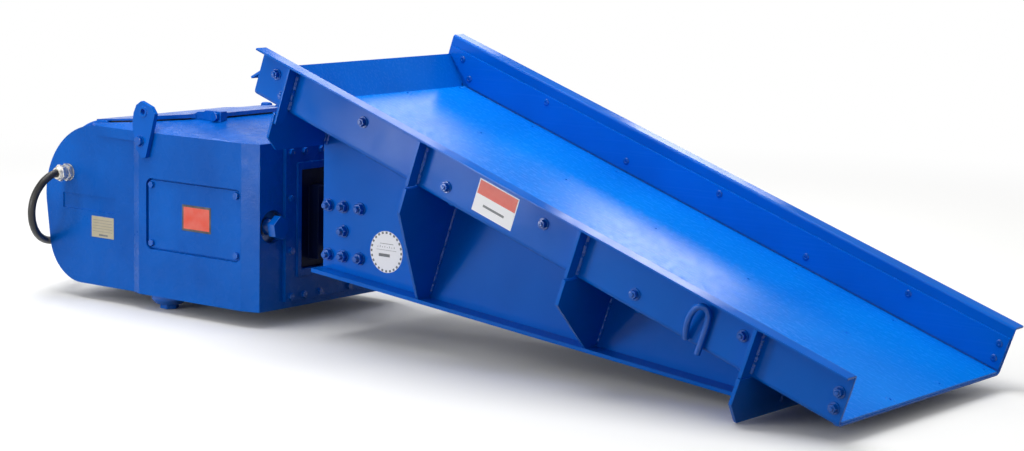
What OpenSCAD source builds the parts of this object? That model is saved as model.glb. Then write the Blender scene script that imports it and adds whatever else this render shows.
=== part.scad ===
// Linear vibratory feeder: an electromagnetic drive below a sloping steel trough.
// The drive stands level, its stroke runs along X, and the trough slopes down towards +X.
// +X discharge end, +Z up, origin under the middle of the machine, on the floor.

/* [Trough] */
// Clear width between the trough's side walls
trough_w = 762; // [610:1:914]
// Length of the trough along its deck
trough_l = 1876; // [1500:1:2200]
// Height of the side walls, underside of the pan to the top of the flange
trough_h = 131; // [100:1:180]
// Thickness of the trough plate
plate_t = 6; // [4:0.5:10]
// Width across the tips of the two top flanges
flange_span = 847; // [700:1:1000]
// Slope of the deck below the stroke line
deck_slope = 19; // [15:0.5:22]
// Height of the deck's discharge end above the floor
deck_z = 34.5; // [20:0.5:60]
// Thickness of the wear liners
liner_t = 6; // [4:0.5:8]
// Height of the side liners above the pan's underside
side_liner_h = 101; // [80:1:120]
// Lean of the back plate from the deck
back_lean = 43; // [35:1:60]

/* [Wing plates and ribs] */
// Width across the outer faces of the two wing plates
wing_span = 398; // [360:1:420]
// Thickness of the wing plates, ribs and gussets
rib_t = 10; // [8:0.5:14]
// Width of the wing plates' bottom flange
wing_flange = 48; // [30:1:60]
// Distance of each rib from the discharge end, along the deck
rib_at = [256, 776, 1298, 1748];
// Depth of the front rib below the pan, where the trough stands on it
front_rib_h = 121; // [110:0.5:130]

/* [Drive casting] */
// Width of the front part of the drive casting
drive_w = 600; // [560:1:640]
// Width of the rear part of the drive casting
drive_rear_w = 570; // [530:1:620]
// Underside of the casting above the floor
drive_z = 43; // [35:1:60]
// Top edge of the casting's side above the floor
drive_top = 498; // [460:1:540]
// Front face of the casting, along X
drive_front_x = -522; // [-540:1:-500]
// Wall thickness of the casting
cast_t = 14; // [10:1:20]
// Diameter of the opening round each spring clamp screw
jack_hole_d = 90; // [80:1:100]
// Size of the recess for each inspection cover
cover_size = [362, 198];
// Depth of that recess
cover_depth = 12; // [8:1:16]

/* [Springs and magnet] */
// Number of leaves in the spring stack
leaves = 6; // [4:1:8]
// Thickness of one leaf
leaf_t = 12; // [8:0.5:14]
// Gap between two leaves
leaf_gap = 5.6; // [4:0.1:8]
// Air gap between the armature and the magnet
air_gap = 4; // [3:0.5:6]
// Free gap round the moving clamp, each side of the spring stack
stroke_gap = 1.2; // [1:0.1:2]

/* [Power cable] */
// Diameter of the power cable
cable_d = 22; // [18:1:26]
// Radius of the stored coil at the middle of its turns
coil_r = 121; // [110:1:140]

/* [Hidden] */
deck_x = 1324;
half_w = trough_w/2;
wall_y = half_w + plate_t;
tip_y = flange_span/2;
wing_y = wing_span/2;
front_y = drive_w/2;
rear_y = drive_rear_w/2;
floor_z = plate_t + liner_t;
// bolt positions along the deck: end pairs and the five on a 12 in pitch between them
bolt_at = [295, 597, 896, 1200, 1503];
side_bolts = concat([[24, 78], [24, 38]],
  [for (i = [0:4]) [bolt_at[i], i%2 == 0 ? 82 : 40]], [[1817, 80], [1777, 36]]);
floor_rows = [-345, -118, 118, 345];
floor_bolts = [for (y = floor_rows) for (x = concat([24], bolt_at, [1776])) [x, y]];
// wing bolts as [x, z]
wing_bolts_xz = [[-352, 345], [-300, 345], [-242, 345], [-300, 280],
                 [-352, 213], [-300, 213], [-242, 213]];
jack_yz = [[-238, 272], [238, 272]];
cover_c = [-760, 273];
cover_screws_xz = [[-922, 354], [-598, 354], [-922, 192], [-598, 192]];
wing_x0 = -371.5;
flange_line = [178.5, 0.1045];  // height at wing_x0 and fall per mm of the wing's bottom flange
stack_x1 = -590;
stack_x0 = stack_x1 - leaves*leaf_t - (leaves - 1)*leaf_gap;
arm_x0 = stack_x0 - stroke_gap - 30;
mag_x1 = arm_x0 - 40 - air_gap;
feet_xy = [[-921, -230], [-921, 230]];
coil_c = [-1530, 190];
gland_at = [-1272, -rear_y, 356];
cable_points = [
  [-1272, -337, 355.8], [-1273.2, -366, 343.8], [-1275.5, -389.9, 322.7], [-1279, -406.1, 295.4],
  [-1284, -411.5, 264.4], [-1291.3, -405.7, 233.9], [-1301.6, -390.6, 207.8], [-1314.8, -369.6, 187.7],
  [-1330.1, -345.7, 172.8], [-1345.8, -320.3, 161.3], [-1360.5, -293.4, 152.3], [-1373.2, -264.7, 145.8],
  [-1383.7, -234.9, 141.3], [-1393.8, -204.8, 137.1], [-1405.6, -175.6, 131.4], [-1419.7, -148.6, 121.8],
  [-1434.5, -124.2, 107.5], [-1448, -100.6, 90.5], [-1458.8, -76.1, 73.1], [-1465.9, -50.1, 55.8],
  [-1468.4, -22.6, 39.7], [-1465.5, 6.4, 26.5], [-1457.6, 36.1, 17.8], [-1446.2, 65.7, 13.4],
  [-1433.6, 95, 11.9], [-1421.7, 124.7, 11.6], [-1411.2, 154.9, 11.6], [-1408.9, 186.8, 11.5]];

enamel = "#1560C8"; enamel_dark = "#0E4BA8"; steel = "#A9B0B8"; zinc = "#C9CCC8";
rubber = "#17181A"; copper = "#B5652B"; lamination = "#5A5E66"; plate = "#CFC8B0"; label = "#E8562A";

module along_x(x0, len) translate([x0, 0, 0]) rotate([90, 0, 90]) linear_extrude(len) children();
module along_y(y0, len) translate([0, y0 + len, 0]) rotate([90, 0, 0]) linear_extrude(len) children();
module box(lo, hi) translate(lo) cube(hi - lo);
module rod_x(p, r, len, fn = 32) translate(p) rotate([0, 90, 0]) cylinder(r = r, h = len, $fn = fn);
module rod_y(p, r, len, fn = 32) translate(p) rotate([-90, 0, 0]) cylinder(r = r, h = len, $fn = fn);
module hex_y(p, af, len) rod_y(p, af/sqrt(3), len, 6);
module hex_x(p, af, len) rod_x(p, af/sqrt(3), len, 6);
module deck() translate([deck_x, 0, deck_z]) rotate([0, deck_slope, 0]) children();
module both_sides() for (s = [-1, 1]) scale([1, s, 1]) children();

// ---------- drive casting ----------

// side view of the casting: square front, round back
module drive_profile(inset = 0) offset(delta = -inset) hull() {
  translate([-1156, 288]) circle(r = 210, $fn = 72);
  translate([-1222, drive_z + 130]) circle(r = 130, $fn = 60);
  translate([-1100, drive_z]) square([1100 + drive_front_x, drive_top - drive_z]);
}
module drive_roof(drop = 0) hull() {
  box([-1160, -rear_y, 470 - drop], [drive_front_x, rear_y, drive_top - drop]);
  box([-990, -front_y, 470 - drop], [-577, front_y, drive_top - drop]);
  box([-803, -140, 535 - drop], [-802, 140, 536 - drop]);
  box([-1020, -268, 516 - drop], [-1019, 268, 517 - drop]);
  box([-1190, -268, 480 - drop], [-1189, 268, 502 - drop]);
}
module recess_outline(grow = 0) translate(cover_c) offset(r = 20 + grow, $fn = 32)
  square([cover_size[0] - 40, cover_size[1] - 40], center = true);
module drive_casting() color(enamel) difference() {
  union() {
    along_y(-rear_y, drive_rear_w) drive_profile();
    // the front half stands proud of the rear half behind a bevel
    intersection() {
      along_y(-front_y - 6, drive_w + 12) drive_profile();
      linear_extrude(600) polygon([[-1005, -rear_y], [-970, -front_y], [-577, -front_y],
        [drive_front_x, -front_y + 14], [drive_front_x, front_y - 14], [-577, front_y],
        [-970, front_y], [-1005, rear_y]]);
    }
    drive_roof();
  }
  // hollow inside, open at the front and under the top cover
  difference() {
    along_y(-272, 544) offset(delta = -cast_t) intersection() {
      drive_profile();
      translate([-1400, 0]) square([1400 + drive_front_x, 600]);
    }
    box([drive_front_x - 16, -300, 0], [drive_front_x + 1, 300, 600]);
  }
  box([drive_front_x - 17, -172, 80], [drive_front_x + 1, 172, 468]);
  box([-1110, -105, 470], [-860, 105, 560]);
  for (s = [-1, 1]) {
    // recess and opening behind each inspection cover
    along_y(s > 0 ? front_y - cover_depth : -front_y - 10, cover_depth + 10) recess_outline();
    along_y(s > 0 ? 262 : -302, 40) translate(cover_c) square([300, 140], center = true);
    for (p = cover_screws_xz) rod_y([p[0], s > 0 ? 270 : -290, p[1]], 4.5, 20, 16);
  }
  // openings for the clamp screws, cable and bracket bolts
  for (p = jack_yz) rod_x([drive_front_x - 20, p[0], p[1]], jack_hole_d/2, 40, 48);
  rod_y([gland_at[0], -rear_y - 1, gland_at[2]], 16, 30);
  for (s = [-1, 1]) rod_y([-950, s > 0 ? 262 : -310, 474], 8.5, 48, 24);
  // sunk panel on the near side, left plain
  box([-1294, -rear_y - 1, 254], [-1080, -rear_y + 3, 297]);
  for (p = feet_xy) translate([p[0], p[1], 30]) cylinder(r = 12.5, h = 40, $fn = 24);
}

module seal_frame() color(enamel_dark) difference() {
  union() {
    box([drive_front_x, -197, 62], [drive_front_x + 12, 197, 486]);
    box([drive_front_x + 12, -155, 128], [drive_front_x + 18, 155, 440]);
  }
  box([drive_front_x - 1, -140, 148], [drive_front_x + 19, 140, 420]);
  for (p = frame_bolt_yz) rod_x([drive_front_x - 1, p[0], p[1]], 6.5, 22, 8);
}
frame_bolt_yz = concat([for (s = [-1, 1]) for (z = [76, 202, 345, 470]) [s*178, z]],
  [for (y = [-60, 60, -126, 126]) for (z = [76, 470]) [y, z]]);
module seal_frame_bolts() color(enamel_dark) for (p = frame_bolt_yz) {
  hex_x([drive_front_x + 12, p[0], p[1]], 17, 8);
  rod_x([drive_front_x + 0.2, p[0], p[1]], 5.5, 12, 6);
}
// rubber diaphragm with a raised collar round the neck
module dust_seal() color(rubber) difference() {
  union() {
    box([drive_front_x, -139.5, 148.5], [drive_front_x + 5, 139.5, 419.5]);
    box([drive_front_x + 5, -98, 172], [drive_front_x + 40, 98, 374]);
  }
  box([drive_front_x - 1, -76, 196], [drive_front_x + 41, 76, 350]);
  box([drive_front_x + 8, -90, 180], [drive_front_x + 34, 90, 366]);
}

// cover plate bolted over the opening in the roof; tilt follows the roof
module on_roof() translate([-802, 0, 536]) rotate([0, -5, 0]) children();
roof_outline = [[0, -134], [-218, -256], [-384, -256], [-384, 256], [-218, 256], [0, 134]];
// room for the clamp lugs in the cover's slanted edges
module lug_notches() both_sides() box([-909, -174, 490], [-776, -145, 590]);
module cover_gasket() color(rubber) difference() {
  on_roof() translate([0, 0, 0.6]) linear_extrude(4) difference() {
    offset(delta = -9) polygon(roof_outline);
    translate([-302, -110]) square([238, 220]);
  }
  lug_notches();
}
module cover_shape() on_roof() {
  translate([0, 0, 4.6]) linear_extrude(5) polygon(roof_outline);
  hull() {
    translate([0, 0, 9.6]) linear_extrude(5.5) polygon([[0, -134], [-190, -240], [-206, -236],
      [-212, -222], [-212, 222], [-206, 236], [-190, 240], [0, 134]]);
    translate([0, 0, 9.6]) linear_extrude(1) polygon([[-212, -222], [-300, -190], [-300, 190], [-212, 222]]);
  }
}
module top_cover() color(enamel) difference() {
  cover_shape();
  lug_notches();
}
// lugs standing on the roof beside the cover
module cover_clamps() color(enamel_dark) both_sides() difference() {
  along_y(-172, 24) polygon([[-906, 514], [-896, 538], [-868, 552], [-845, 554], [-838, 558],
    [-779, 558], [-779, 524], [-820, 516]]);
  rod_y([-797, -180, 544], 7, 60, 24);
  drive_roof(-0.3);
}
module cover_clamp_bolts() color(steel) both_sides() {
  hex_y([-797, -183, 544], 22, 11);
  rod_y([-797, -172, 544], 6.4, 23.5, 16);
}

module inspection_cover(s) color(enamel) difference() {
  along_y(s > 0 ? front_y - cover_depth : -front_y + cover_depth - 7, 7) recess_outline(-5);
  for (p = cover_screws_xz) rod_y([p[0], s*front_y - 30, p[1]], 5, 60, 16);
}
module inspection_cover_left() inspection_cover(1);
module inspection_cover_right() inspection_cover(-1);
module inspection_screws() color(enamel) both_sides() for (p = cover_screws_xz) {
  hex_y([p[0], -front_y - 2, p[1]], 17, 7);
  rod_y([p[0], -front_y + 4.8, p[1]], 4, 20, 16);
}

// hanger plate with the eye for the rear suspension
module bracket_outline() polygon([[-946, 585], [-906, 571], [-892, 552], [-898, 530],
  [-928, 430], [-946, 426], [-966, 450], [-981, 520], [-976, 550], [-965, 573]]);
module suspension_bracket(s) color(enamel) difference() {
  union() {
    along_y(s > 0 ? front_y : -front_y - 14, 14) bracket_outline();
    rod_y([-936, s > 0 ? front_y + 14 : -front_y - 17, 556], 15, 3);
  }
  rod_y([-936, s > 0 ? front_y - 1 : -front_y - 18, 556], 8, 19, 32);
  rod_y([-950, s > 0 ? front_y - 1 : -front_y - 18, 474], 8.5, 19, 24);
}
module suspension_bracket_left() suspension_bracket(1);
module suspension_bracket_right() suspension_bracket(-1);
module bracket_bolts() color(enamel) both_sides() {
  hex_y([-950, -front_y - 25, 474], 24, 11);
  rod_y([-950, -front_y - 14.2, 474], 8, 48, 20);
  hex_y([-950, -272 + 0.2, 474], 19, 12);
}

// clamped feet the drive stands on
module drive_feet() color(enamel_dark) for (p = feet_xy) translate([p[0], p[1], 0]) {
  cylinder(r = 46/sqrt(3), h = 15, $fn = 6);
  translate([0, 0, 15]) cylinder(r1 = 40, r2 = 50, h = 12, $fn = 32);
  translate([0, 0, 27]) cylinder(r = 50, h = drive_z - 27, $fn = 32);
  translate([0, 0, drive_z]) cylinder(r = 12, h = 26, $fn = 24);
}

// ---------- springs and magnet ----------

module jack_screws() color(enamel) for (p = jack_yz) {
  rod_x([stack_x1 + 27.2, p[0], p[1]], 22.5, -stack_x1 - 27.2 - 510, 48);
  hex_x([-510, p[0], p[1]], 58, 25);
}
module jack_nuts() color(steel) for (p = jack_yz) difference() {
  box([-556, p[0] < 0 ? -271.8 : 200, 216], [-538.2, p[0] < 0 ? -200 : 271.8, 328]);
  rod_x([-560, p[0], p[1]], 23, 30, 48);
}
module spring_end_clamps() color(steel) both_sides() box([stack_x1, 216, 195], [stack_x1 + 27, 262, 350]);
module spring_seats() color(enamel_dark) both_sides()
  box([stack_x0 - 40, 216, 180], [stack_x0, 271.8, 365]);
module leaf_springs() color(steel) for (i = [0:leaves - 1]) difference() {
  x = stack_x0 + i*(leaf_t + leaf_gap);
  box([x, -265, 200], [x + leaf_t, 265, 345]);
  for (z = [235, 310]) rod_x([x - 1, 0, z], 15, leaf_t + 2, 12);
}
module spring_spacers() color(zinc) for (i = [0:leaves - 2]) {
  x = stack_x0 + leaf_t + i*(leaf_t + leaf_gap);
  for (s = [-1, 1]) box([x, s > 0 ? 218 : -262, 202], [x + leaf_gap, s > 0 ? 262 : -218, 343]);
  difference() {
    box([x, -42, 202], [x + leaf_gap, 42, 343]);
    for (z = [235, 310]) rod_x([x - 1, 0, z], 15, leaf_gap + 2, 12);
  }
}
module magnet_core() color(lamination) difference() {
  box([mag_x1 - 150, -110, 175], [mag_x1, 110, 370]);
  for (s = [-1, 1]) box([mag_x1 - 100, s > 0 ? 38 : -80, 170], [mag_x1 + 1, s > 0 ? 80 : -38, 375]);
}
module magnet_coil() color(copper) difference() {
  box([mag_x1 - 98, -78, 138], [mag_x1 - 8, 78, 407]);
  box([mag_x1 - 100, -39, 174], [mag_x1 + 1, 39, 371]);
}
module magnet_bracket() color(enamel_dark) difference() {
  box([mag_x1 - 172, -271.8, 130], [mag_x1 - 150, 271.8, 412]);
  for (s = [-1, 1]) for (z = [150, 392]) rod_x([mag_x1 - 175, s*140, z], 12, 30, 24);
}

// ---------- cable ----------

module gland_body() color(zinc) difference() {
  union() {
    hex_y([gland_at[0], gland_at[1] - 14, gland_at[2]], 44, 14);
    rod_y([gland_at[0], gland_at[1] - 26, gland_at[2]], 20, 12, 40);
    rod_y(gland_at, 15.6, 24, 32);
  }
  rod_y([gland_at[0], gland_at[1] - 27, gland_at[2]], cable_d/2 + 0.5, 60, 32);
}
module gland_nut() color(zinc) difference() {
  union() {
    hex_y([gland_at[0], gland_at[1] - 38, gland_at[2]], 42, 12);
    rod_y([gland_at[0], gland_at[1] - 47, gland_at[2]], 17.5, 10, 40);
  }
  rod_y([gland_at[0], gland_at[1] - 48, gland_at[2]], cable_d/2 + 0.5, 30, 32);
}
function unit(v) = v/norm(v);
function tangent(p, i) = unit(i == 0 ? p[1] - p[0] : i == len(p) - 1 ? p[i] - p[i-1] : p[i+1] - p[i-1]);
// one ring of the tube at point i, kept upright by the z axis
function ring(p, i, r, n) = let (t = tangent(p, i), a = unit(cross(t, [0.05, 0.1, 1])), b = cross(a, t))
  [for (k = [0:n - 1]) p[i] + r*(cos(360*k/n)*a + sin(360*k/n)*b)];
module tube(p, r, n = 10) {
  m = len(p);
  polyhedron([for (i = [0:m - 1]) each ring(p, i, r, n)],
    concat([[for (k = [0:n - 1]) k]], [[for (k = [n - 1:-1:0]) (m - 1)*n + k]],
      [for (i = [0:m - 2]) for (k = [0:n - 1])
        [i*n + k, (i + 1)*n + k, (i + 1)*n + (k + 1)%n, i*n + (k + 1)%n]]), convexity = 8);
}
cable_run = concat([[gland_at[0], gland_at[1] - 20, gland_at[2]]], cable_points);
module power_cable() color(rubber) tube(cable_run, cable_d/2);
// the unseen length wound in two layers; the second ends short, where the cores lie
module cable_coil() color(rubber) translate([coil_c[0], coil_c[1], 0.5]) {
  rotate_extrude(angle = 285, $fn = 48) translate([coil_r - 11, 0]) square([22, 22]);
  rotate([0, 0, -75]) rotate_extrude(angle = 330, $fn = 48) translate([coil_r - 11, 22]) square([22, 22]);
}
module coil_tie() color(rubber) translate([coil_c[0], coil_c[1], 0.5]) rotate([0, 0, 100])
  translate([coil_r, 0, 22]) rotate([90, 0, 0]) linear_extrude(9, center = true) difference() {
    square([25.4, 47.4], center = true);
    square([22.2, 44.2], center = true);
  }
module cable_cores() color(copper) translate([coil_c[0], coil_c[1], 0]) rotate([0, 0, 255.5])
  for (k = [0:2]) translate([coil_r - 7 + 7*k, 0, 26.2]) rotate([-90, 0, 0]) cylinder(r = 3, h = 46, $fn = 12);

// ---------- plates and labels, all left blank ----------

module rating_plate() color(plate) box([-1176, -rear_y - 1.2, 181], [-1086, -rear_y, 241]);
module cover_label() color(label) box([-805, -front_y + cover_depth - 7.6, 239],
  [-695, -front_y + cover_depth - 7, 311]);
module wall_label() color(plate) deck() box([-1110, -wall_y - 0.6, 22], [-982, -wall_y, 106]);

// ---------- moving frame: centre piece, armature, wings ----------

module centre_piece() color(enamel_dark) difference() {
  union() {
    box([wing_x0, -wing_y + rib_t, 186], [-345, wing_y - rib_t, 372]);
    for (s = [-1, 1]) box([-350, s > 0 ? 161 : -wing_y + rib_t, 186], [-215, s > 0 ? wing_y - rib_t : -161, 372]);
    box([-350, -165, 186], [-215, 165, 199.5]);
    box([-585, -68, 204], [-360, 68, 342]);
    box([stack_x1 + stroke_gap, -42, 200], [-560, 42, 345]);
  }
  for (p = wing_bolts_xz) rod_y([p[0], -200, p[1]], 8.8, 400, 12);
  for (z = [235, 310]) rod_x([-600, 0, z], 12.4, 60, 24);
  for (s = [-1, 1]) box([-344, s > 0 ? 20 : -150, 180], [-230, s > 0 ? 150 : -20, 210]);
}
module centre_bolts() color(steel) for (z = [235, 310])
  rod_x([arm_x0 + 2, 0, z], 12, stack_x1 + stroke_gap - arm_x0 + 26, 24);
module armature() color(lamination) difference() {
  union() {
    box([arm_x0 - 40, -110, 175], [arm_x0, 110, 370]);
    box([arm_x0, -42, 200], [arm_x0 + 30, 42, 345]);
  }
  for (z = [235, 310]) rod_x([arm_x0 + 1, 0, z], 12.4, 40, 24);
}

function fl_top(x) = flange_line[0] - flange_line[1]*(x - wing_x0);
// a point of the deck frame, seen from the side in X and Z
function deck_xz(x, z) = [deck_x + x*cos(deck_slope) + z*sin(deck_slope),
                          deck_z - x*sin(deck_slope) + z*cos(deck_slope)];
wing_front = deck_xz(-rib_at[0], -104);
module wing_plate(s) color(enamel) difference() {
  union() {
    along_y(s > 0 ? wing_y - rib_t : -wing_y, rib_t) polygon([deck_xz(-rib_at[3] - 8, 0),
      deck_xz(-rib_at[3] - 8, -108), [wing_x0, fl_top(wing_x0) - rib_t],
      [wing_front[0], fl_top(wing_front[0]) - rib_t], deck_xz(-rib_at[0], 0)]);
    along_y(s > 0 ? wing_y - rib_t : -wing_y - wing_flange, wing_flange + rib_t)
      polygon([[wing_x0, fl_top(wing_x0)], [wing_x0, fl_top(wing_x0) - rib_t],
        [wing_front[0], fl_top(wing_front[0]) - rib_t], [wing_front[0] - 4, fl_top(wing_front[0] - 4)]]);
  }
  for (p = wing_bolts_xz) rod_y([p[0], s*wing_y - 20, p[1]], 8.8, 40, 16);
}
module wing_plate_left() wing_plate(1);
module wing_plate_right() wing_plate(-1);
module wing_bolts() color(enamel) both_sides() for (p = wing_bolts_xz) {
  rod_y([p[0], -wing_y - 24, p[1]], 8, 73, 8);
  hex_y([p[0], -wing_y - 14, p[1]], 26, 14);
  if (p[0] > -345) hex_y([p[0], -160.8, p[1]], 26, 10);
}
module stroke_gauge() color("#E8E8E4") rod_y([-150, -wing_y - 0.6, 241], 55, 0.6, 48);

// ---------- trough ----------

module pan_section() {
  difference() {
    hull() {
      for (s = [-1, 1]) translate([s*(wall_y - 14), 14]) circle(r = 14, $fn = 32);
      translate([-wall_y, trough_h - 1]) square([2*wall_y, 1]);
    }
    hull() {
      for (s = [-1, 1]) translate([s*(half_w - 8), 8 + plate_t]) circle(r = 8, $fn = 32);
      translate([-half_w, trough_h]) square([trough_w, 1]);
    }
  }
  for (s = [-1, 1]) translate([s > 0 ? half_w + 1 : -tip_y, trough_h - plate_t]) square([tip_y - half_w - 1, plate_t]);
}
module trough_pan() color(enamel) deck() difference() {
  along_x(-trough_l, trough_l) pan_section();
  for (b = side_bolts) rod_y([-b[0], -420, b[1]], 7, 840, 10);
  for (b = floor_bolts) translate([-b[0], b[1], -1]) cylinder(r = 7, h = plate_t + 2, $fn = 10);
}
back_foot = -1802;
back_top = [back_foot - 66, plate_t + 66*tan(back_lean)];
module back_plate() color(enamel) deck() difference() {
  along_y(-half_w + 0.4, trough_w - 0.8)
    polygon([[back_foot + 8, plate_t], back_top, back_top + [-34, -36], back_top + [-39, -32],
      back_top + [-2, 8], [back_foot + 16, plate_t]]);
  // clear of the bend in the pan's corners
  both_sides() box([back_foot - 30, -half_w - 1, 0], [back_foot + 30, -half_w + 8.4, plate_t + 8.4]);
}
module floor_liner() color(enamel) deck() difference() {
  box([-1784, -372, plate_t], [-2, 372, floor_z]);
  for (b = floor_bolts) translate([-b[0], b[1], 0]) {
    translate([0, 0, plate_t - 1]) cylinder(r = 7, h = 2.2, $fn = 10);
    translate([0, 0, plate_t + 1]) cylinder(r1 = 7, r2 = 12.4, h = 5.1, $fn = 10);
  }
}
module side_liner(s) color(enamel) deck() difference() {
  along_y(s > 0 ? half_w - liner_t : -half_w, liner_t)
    polygon([[-2, floor_z + 3], [-2, side_liner_h], [-1866, side_liner_h], [-1876 + 10, 100],
      [back_top[0] + 4, back_top[1] + 10], [back_foot + 30, floor_z + 3]]);
  for (b = side_bolts) rod_y([-b[0], s*half_w - 20, b[1]], 7, 40, 12);
}
module side_liner_left() side_liner(1);
module side_liner_right() side_liner(-1);
// round-headed bolts from inside, washer and nut outside
module side_bolts() color(enamel) deck() both_sides() for (b = side_bolts) {
  rod_y([-b[0], -half_w + liner_t, b[1]], 10, 4, 10);
  rod_y([-b[0], -wall_y - 17, b[1]], 5.8, 24 + plate_t, 6);
  rod_y([-b[0], -wall_y - 2.5, b[1]], 15, 2.5, 12);
  hex_y([-b[0], -wall_y - 13, b[1]], 19, 10.6);
}
module floor_bolt_set() color(steel) deck() for (b = floor_bolts) translate([-b[0], b[1], 0]) {
  translate([0, 0, plate_t + 1.2]) cylinder(r1 = 6, r2 = 11.4, h = 4.6, $fn = 10);
  translate([0, 0, -14]) cylinder(r = 5.6, h = 21 + plate_t - 5, $fn = 6);
  translate([0, 0, -11]) cylinder(r = 19/sqrt(3), h = 11, $fn = 6);
}

// full-width rib with cut corners; the rear one carries the wing plates' ends
module rib(x, h, low, corner) deck() along_x(-x, 8)
  polygon([[-tip_y - 3, 0], [-tip_y - 3, -low], [-corner, -h], [corner, -h], [tip_y + 3, -low], [tip_y + 3, 0]]);
module rear_rib() color(enamel) rib(rib_at[3] + 16, 108, 71, 384);
module front_rib() color(enamel) deck() along_x(-rib_at[0], rib_t)
  polygon([[-tip_y, 0], [-tip_y, -66], [-371, -front_rib_h], [371, -front_rib_h], [tip_y, -66], [tip_y, 0]]);
// plates beside the trough wall, under the flange
module wall_stiffeners(s) color(enamel) deck() for (i = [0:3])
  along_x(-rib_at[i] - (i == 3 ? 8 : 0), i == 3 ? 8 : rib_t)
    polygon([[s*wall_y, trough_h - plate_t], [s*tip_y, trough_h - plate_t], [s*tip_y, i == 3 ? -29 : 3],
      [s*(wall_y + 6), i == 3 ? -29 : 3], [s*wall_y, 16]]);
module wall_stiffeners_left() wall_stiffeners(1);
module wall_stiffeners_right() wall_stiffeners(-1);
// plates between the wing plate and the trough's edge
module gusset(i, s, low_z) color(enamel) deck() along_x(-rib_at[i], rib_t)
  polygon([[s*wing_y, 0], [s*(wall_y - 16), 0], [s*(wall_y + 4), -3], [s*tip_y, -3], [s*tip_y, -69],
    [s*(wing_y + wing_flange - 1), low_z], [s*wing_y, low_z]]);
module gusset_rear_left() gusset(2, 1, -331.8);
module gusset_rear_right() gusset(2, -1, -331.8);
module gusset_mid_left() gusset(1, 1, -211);
module gusset_mid_right() gusset(1, -1, -211);

// bent round bar welded to the wall, for the front suspension
eye_points = [[-428, 0, 10], [-430, 9, 36], [-428, 16, 62], [-422, 20, 86], [-411, 20, 103],
  [-399, 13, 105], [-391, 5, 94], [-388, 1, 76], [-387, 0, 40], [-387, 0, -10]];
module lifting_eye(s) color(enamel) deck()
  tube([for (p = eye_points) [p[0], s*(wall_y + 8 + p[1]), p[2]]], 8, 12);
module lifting_eye_left() lifting_eye(1);
module lifting_eye_right() lifting_eye(-1);

drive_casting();
seal_frame();
seal_frame_bolts();
dust_seal();
top_cover();
cover_gasket();
cover_clamps();
cover_clamp_bolts();
inspection_cover_left();
inspection_cover_right();
inspection_screws();
suspension_bracket_left();
suspension_bracket_right();
bracket_bolts();
drive_feet();
jack_screws();
jack_nuts();
spring_seats();
spring_end_clamps();
leaf_springs();
spring_spacers();
magnet_core();
magnet_coil();
magnet_bracket();
gland_body();
gland_nut();
power_cable();
cable_coil();
coil_tie();
cable_cores();
rating_plate();
cover_label();
centre_piece();
centre_bolts();
armature();
wing_plate_left();
wing_plate_right();
wing_bolts();
stroke_gauge();
trough_pan();
back_plate();
rear_rib();
front_rib();
wall_stiffeners_left();
wall_stiffeners_right();
gusset_rear_left();
gusset_rear_right();
gusset_mid_left();
gusset_mid_right();
lifting_eye_left();
lifting_eye_right();
floor_liner();
side_liner_left();
side_liner_right();
side_bolts();
floor_bolt_set();
wall_label();
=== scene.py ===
import math
import random

import bmesh
import bpy
from mathutils import Matrix, Vector


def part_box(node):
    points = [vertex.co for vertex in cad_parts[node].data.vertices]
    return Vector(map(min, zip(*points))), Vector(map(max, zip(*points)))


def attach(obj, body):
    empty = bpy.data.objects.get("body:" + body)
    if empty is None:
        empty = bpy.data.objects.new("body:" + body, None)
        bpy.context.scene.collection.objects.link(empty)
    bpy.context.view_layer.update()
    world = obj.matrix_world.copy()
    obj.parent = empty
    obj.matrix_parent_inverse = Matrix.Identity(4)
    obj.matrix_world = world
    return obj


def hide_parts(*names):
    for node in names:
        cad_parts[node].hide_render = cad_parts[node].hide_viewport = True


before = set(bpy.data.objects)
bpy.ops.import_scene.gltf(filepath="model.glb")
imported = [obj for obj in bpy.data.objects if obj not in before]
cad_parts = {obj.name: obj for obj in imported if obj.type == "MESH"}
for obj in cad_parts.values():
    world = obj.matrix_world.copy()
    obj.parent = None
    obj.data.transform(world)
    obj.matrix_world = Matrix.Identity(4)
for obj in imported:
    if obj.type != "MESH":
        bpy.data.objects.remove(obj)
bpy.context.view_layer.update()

MM = 0.001
HERE = Matrix.Identity(4)
# the trough's slope and its own frame: x to the discharge end, z square to its floor
SLOPE = math.radians(19)
DECK = Matrix.Translation((1.324, 0, 0.0345)) @ Matrix.Rotation(SLOPE, 4, "Y")

# main sizes in millimetres, the same values as the solids; the trough's are in its own frame
HALF_WIDTH = 381            # inner faces of the trough's walls
WALL_Y = 387                # outer faces of the walls
TIP_Y = 423.5               # edges of the flanges
WALL_HIGH = 131             # tops of the flanges
TROUGH_LONG = 1876
# front rib, middle and rear gussets, and rear rib: their two faces along the trough, and how
# far below its floor each is welded to the wing plates
RIB_FACES = [(-246, -256), (-766, -776), (-1288, -1298), (-1748, -1756)]
RIB_FEET = [-96, -205, -324, -104]
WING_Y = 199                # outer faces of the wing plates
DRIVE_SIDE = 300            # the housing's sides
DRIVE_FRONT_X = -522        # the housing's front face
SEAL_PLATE = 12             # thickness of the seal frame's plate on that face
COVER_FACE = 295            # outer faces of the inspection covers, sunk in the sides

# the housing's crown: a round bar across its back, cut off at the front and the foot
CROWN_RADIUS = 209.5
CROWN_WIDE = 526
CROWN_AXIS = (-1145.5, 0, 297.5)
CROWN_FRONT_X = -1135
CROWN_FOOT_Z = 300
# what lies above 430 climbs by 5.5, from nothing at x -1300 to all of it at x -1185
CROWN_TOP_Z = 430
CROWN_CLIMB = 5.5
CROWN_CLIMB_X = (-1300, -1185)

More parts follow.
